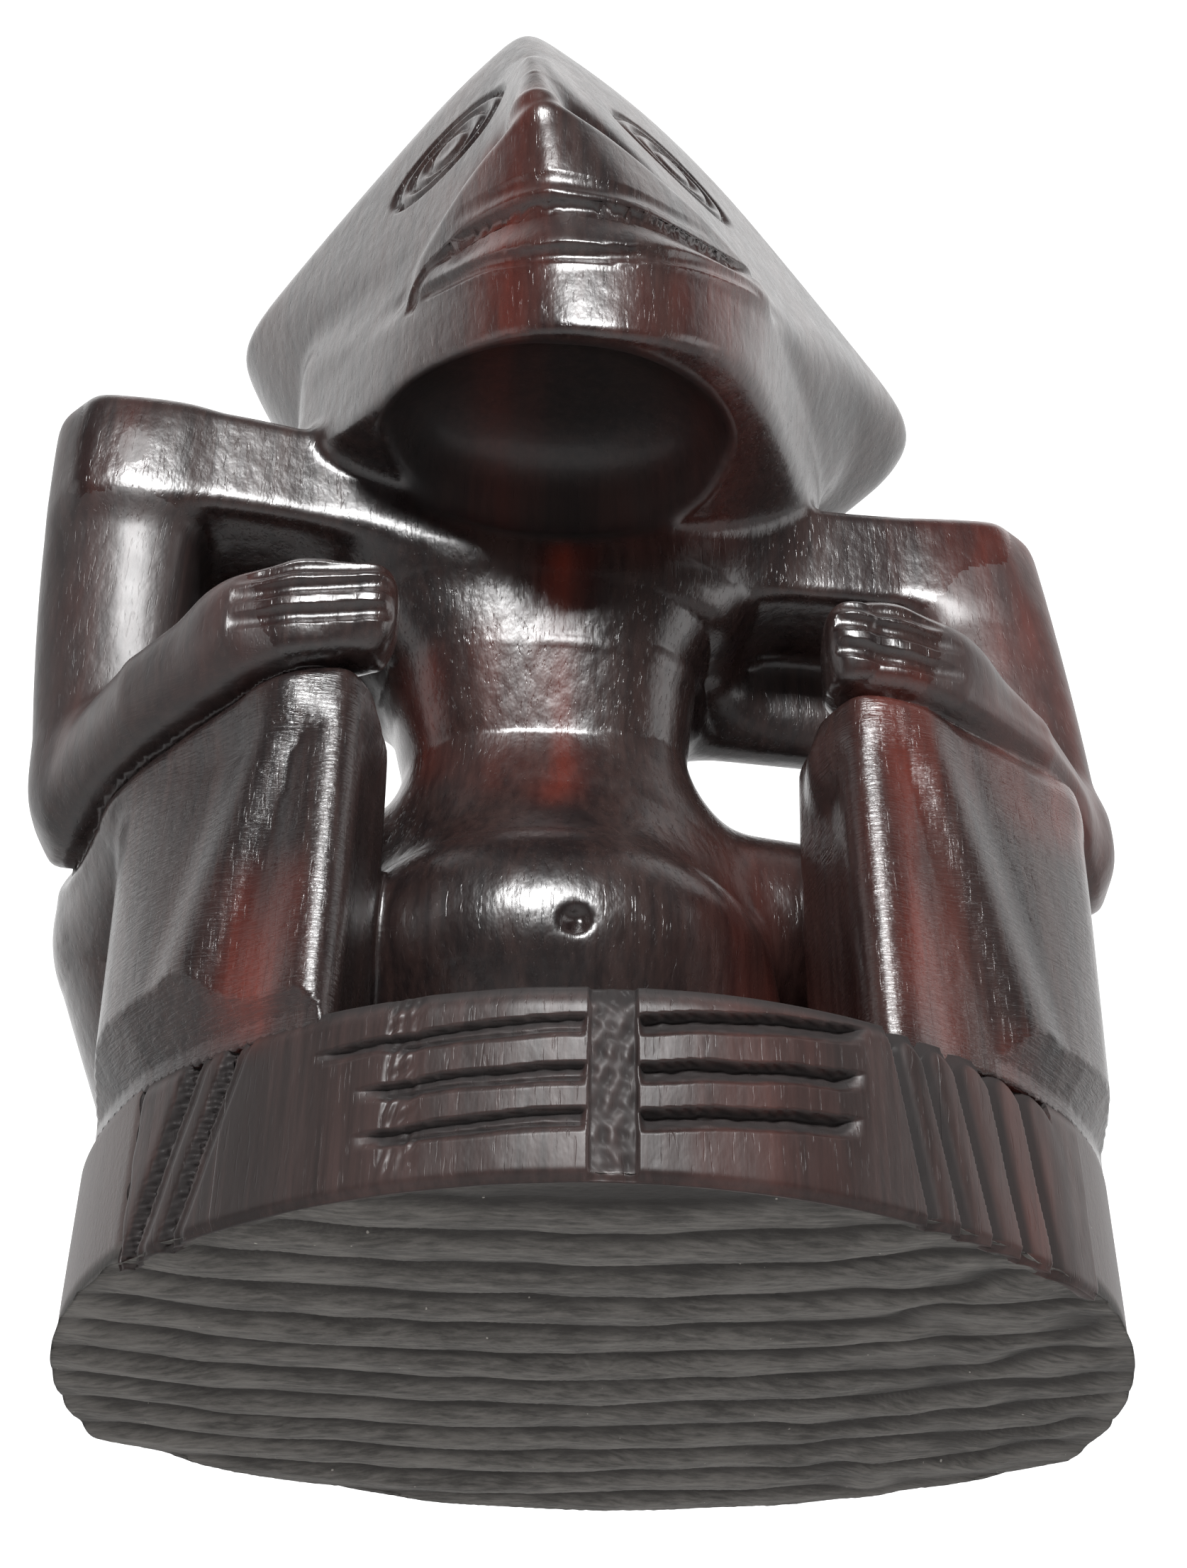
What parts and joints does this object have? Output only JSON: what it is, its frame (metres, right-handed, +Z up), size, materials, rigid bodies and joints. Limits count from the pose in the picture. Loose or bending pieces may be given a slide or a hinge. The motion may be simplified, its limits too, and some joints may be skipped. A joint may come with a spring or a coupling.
{
  "type": "carved figure headrest",
  "caption": "Dark hardwood headrest carved from one block: a squatting figure with its hands on its knees, on an oval plinth with a gouged underside.",
  "frame": {"origin": "centre of the plinth's underside, on the plane it rests on", "axes": "+Z up from the underside to the crown; the figure faces -Y; +X is to the right as seen from the front"},
  "size_m": [0.1241, 0.0856, 0.177],
  "materials": {
    "polished_wood": "oiled and polished dark hardwood with red streaks, glossy",
    "band_wood": "carved dark hardwood, satin, rough in the cuts",
    "sawn_underside": "bare gouged wood, dry and dusty, matt"
  },
  "bodies": {
    "root": {"base_slab": "sawn_underside", "front_band": "band_wood", "left_toes": "band_wood", "right_toes": "band_wood", "left_shin": "polished_wood", "right_shin": "polished_wood", "left_thigh": "polished_wood", "right_thigh": "polished_wood", "belly": "polished_wood", "chest": "polished_wood", "left_web": "polished_wood", "right_web": "polished_wood", "left_upper_arm": "polished_wood", "right_upper_arm": "polished_wood", "left_forearm": "polished_wood", "right_forearm": "polished_wood", "left_hand": "polished_wood", "right_hand": "polished_wood", "neck": "polished_wood", "jaw": "polished_wood", "nose": "polished_wood", "face": "polished_wood", "left_eye": "polished_wood", "right_eye": "polished_wood", "crown": "polished_wood"}
  },
  "joints": []
}
